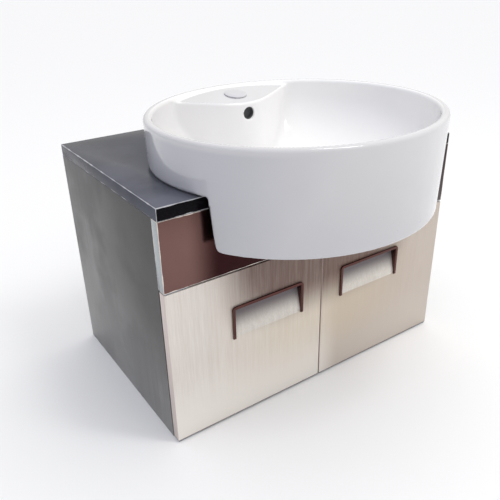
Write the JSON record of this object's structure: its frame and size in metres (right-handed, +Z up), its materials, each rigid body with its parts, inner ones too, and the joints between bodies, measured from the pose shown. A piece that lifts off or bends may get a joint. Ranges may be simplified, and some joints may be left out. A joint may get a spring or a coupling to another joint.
{
  "type": "vessel sink on vanity",
  "caption": "Wall-hung vanity with a round white semi-recessed basin whose apron drops in front of a dark counter, over champagne doors with recessed pulls on pivot pins.",
  "frame": {"origin": "under the middle of the whole object, at the height of its lowest edge, the feet of the side panels", "axes": "+X to the right of a person facing it, +Y back to the wall, +Z up"},
  "size_m": [0.6, 0.5408, 0.4964],
  "materials": {
    "glazed_ceramic": "gloss white glaze",
    "clear_silicone": "smooth clear sealant",
    "white_cap": "gloss white",
    "black_stone": "polished black, pale worn edges",
    "mirror_bronze": "mirror-polished bronze tint",
    "satin_steel": "satin grey with faint upright streaks",
    "champagne_steel": "pale champagne with fine upright grain",
    "honeycomb": "plain honeycomb core",
    "dark_bronze": "polished dark bronze",
    "zinc_steel": "zinc plated",
    "white_nylon": "moulded natural white",
    "grey_magnet": "moulded dark grey",
    "bright_chrome": "bright plated",
    "black_rubber": "matte black",
    "white_plastic": "smooth moulded white"
  },
  "bodies": {
    "cabinet": {"basin": "glazed_ceramic", "basin_seal": "clear_silicone", "tap_hole_cover": "white_cap", "counter_top": "black_stone", "fascia_panel": "mirror_bronze", "front_rail": "satin_steel", "left_side_panel": "satin_steel", "right_side_panel": "satin_steel", "bottom_panel": "satin_steel", "back_panel": "satin_steel", "hanging_rail": "satin_steel", "left_hanging_bracket": "zinc_steel", "left_bracket_side_screw": "zinc_steel", "left_bracket_rail_screw": "zinc_steel", "left_catch": "grey_magnet", "left_lower_pivot_plate": "zinc_steel", "left_upper_pivot_plate": "zinc_steel", "left_lower_pivot_pin": "bright_chrome", "left_upper_pivot_pin": "bright_chrome", "right_hanging_bracket": "zinc_steel", "right_bracket_side_screw": "zinc_steel", "right_bracket_rail_screw": "zinc_steel", "right_catch": "grey_magnet", "right_lower_pivot_plate": "zinc_steel", "right_upper_pivot_plate": "zinc_steel", "right_lower_pivot_pin": "bright_chrome", "right_upper_pivot_pin": "bright_chrome", "waste_body": "bright_chrome", "waste_bridge": "bright_chrome", "waste_gasket": "black_rubber", "waste_nut": "bright_chrome", "coupling_nut": "white_plastic", "trap_inlet_pipe": "white_plastic", "trap_body": "white_plastic", "trap_cup": "white_plastic", "trap_outlet_nut": "white_plastic", "outlet_pipe": "white_plastic", "wall_escutcheon": "bright_chrome", "left_lower_pivot_screw": "zinc_steel", "left_upper_pivot_screw": "zinc_steel", "right_lower_pivot_screw": "zinc_steel", "right_upper_pivot_screw": "zinc_steel"},
    "left_door": {"left_door_skin": "champagne_steel", "left_door_core": "honeycomb", "left_door_back": "satin_steel", "left_door_scoop": "champagne_steel", "left_pull_frame": "dark_bronze", "left_catch_strike": "zinc_steel", "left_lower_bush": "white_nylon", "left_upper_bush": "white_nylon"},
    "right_door": {"right_door_skin": "champagne_steel", "right_door_core": "honeycomb", "right_door_back": "satin_steel", "right_door_scoop": "champagne_steel", "right_pull_frame": "dark_bronze", "right_catch_strike": "zinc_steel", "right_lower_bush": "white_nylon", "right_upper_bush": "white_nylon"},
    "plug": {"waste_plug": "bright_chrome", "plug_seal": "black_rubber"}
  },
  "joints": [
    {"name": "left_door_hinge", "type": "hinge", "parent": "cabinet", "child": "left_door", "pos_m": [-0.294, -0.1075, 0], "axis": [0, 0, -1], "range_deg": [0, 105]},
    {"name": "right_door_hinge", "type": "hinge", "parent": "cabinet", "child": "right_door", "pos_m": [0.294, -0.1075, 0], "axis": [0, 0, 1], "range_deg": [0, 105]},
    {"name": "waste_plug_lift", "type": "slide", "parent": "cabinet", "child": "plug", "axis": [0, 0, 1], "range_m": [0, 0.008]}
  ]
}
